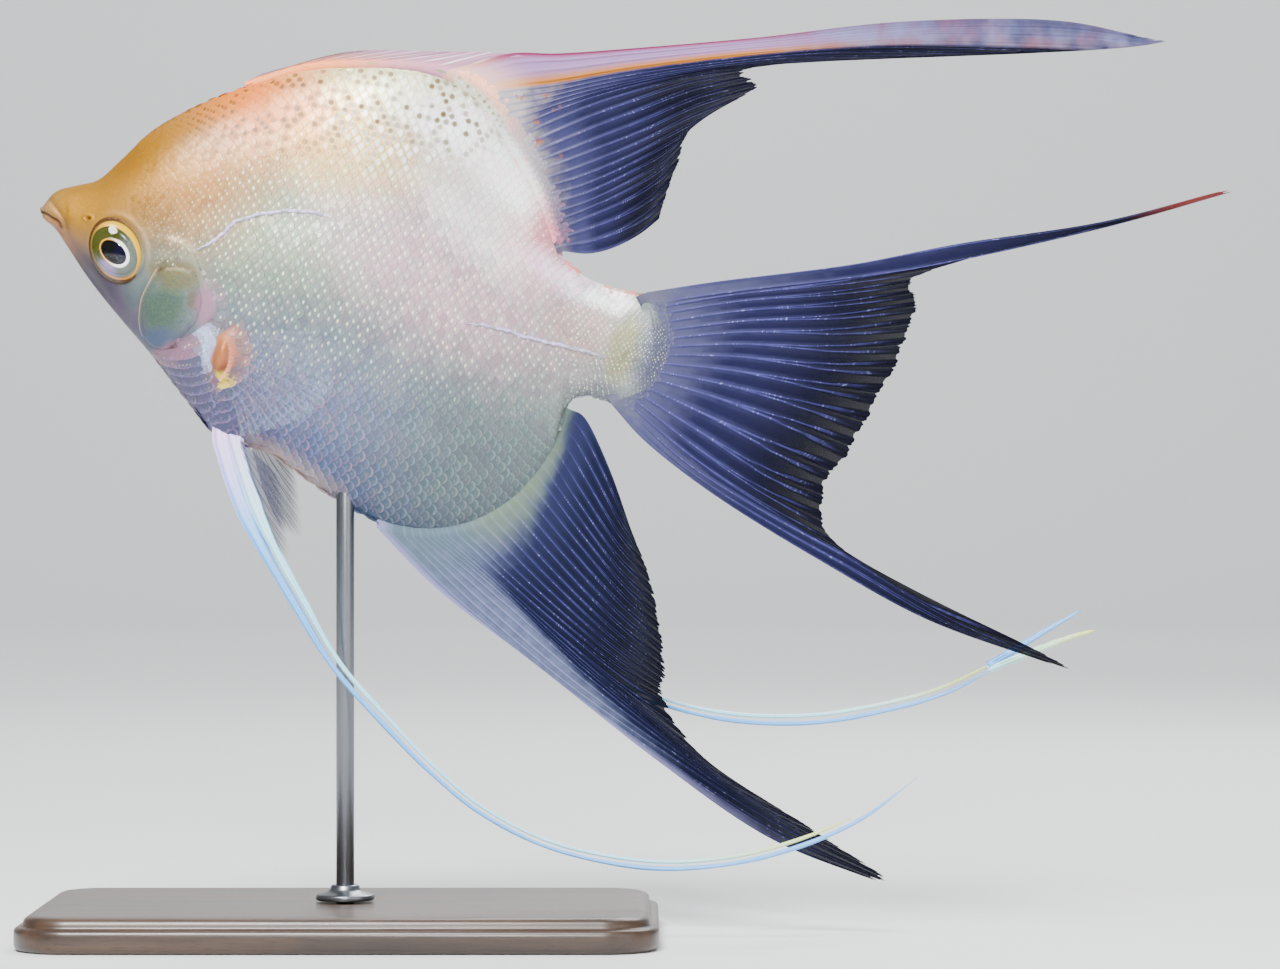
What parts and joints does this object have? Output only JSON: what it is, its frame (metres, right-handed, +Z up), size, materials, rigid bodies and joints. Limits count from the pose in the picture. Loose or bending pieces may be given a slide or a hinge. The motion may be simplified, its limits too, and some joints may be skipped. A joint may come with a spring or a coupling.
{
  "type": "freshwater angelfish",
  "caption": "Still life-size freshwater angelfish with pearly scales, long trailing fins and threadlike pelvic fins, held above a flat wooden base by a steel rod.",
  "frame": {"origin": "middle of the underside of the stand base", "axes": "+Z up; the fish faces -X and its left side is to -Y"},
  "size_m": [0.1708, 0.056, 0.1316],
  "materials": {
    "head_skin": "golden orange, satin",
    "gill_cover": "green with a metallic sheen",
    "flank_skin": "pearly grey green scales, glossy",
    "eye": "gold and silver rings round a dark pupil, high gloss",
    "pink_fin": "pink and white, translucent",
    "navy_fin": "navy membrane with pale rays, translucent",
    "pale_fin": "pale scaled sheath",
    "white_fin": "white with blue and yellow edges",
    "clear_fin": "nearly clear",
    "wood": "walnut, satin lacquer",
    "steel": "brushed"
  },
  "bodies": {
    "root": {"head": "head_skin", "lower_jaw": "head_skin", "gill_cover_left": "gill_cover", "gill_cover_right": "gill_cover", "trunk": "flank_skin", "tail_base": "flank_skin", "eye_left": "eye", "eye_right": "eye", "dorsal_fin_spines": "pink_fin", "dorsal_fin_streamer": "pink_fin", "dorsal_fin_fan": "navy_fin", "anal_fin_front": "pale_fin", "anal_fin_streamer": "navy_fin", "anal_fin_fan": "navy_fin", "caudal_fin_fan": "navy_fin", "caudal_fin_streamer_upper": "navy_fin", "caudal_fin_streamer_lower": "navy_fin", "pectoral_fin_left": "clear_fin", "pectoral_fin_right": "clear_fin", "pelvic_fin_left_base": "white_fin", "pelvic_fin_left_middle": "white_fin", "pelvic_fin_left_tip": "white_fin", "pelvic_fin_right_base": "white_fin", "pelvic_fin_right_middle": "white_fin", "pelvic_fin_right_tip": "white_fin", "stand_base": "wood", "stand_collar": "steel", "stand_rod": "steel"}
  },
  "joints": []
}
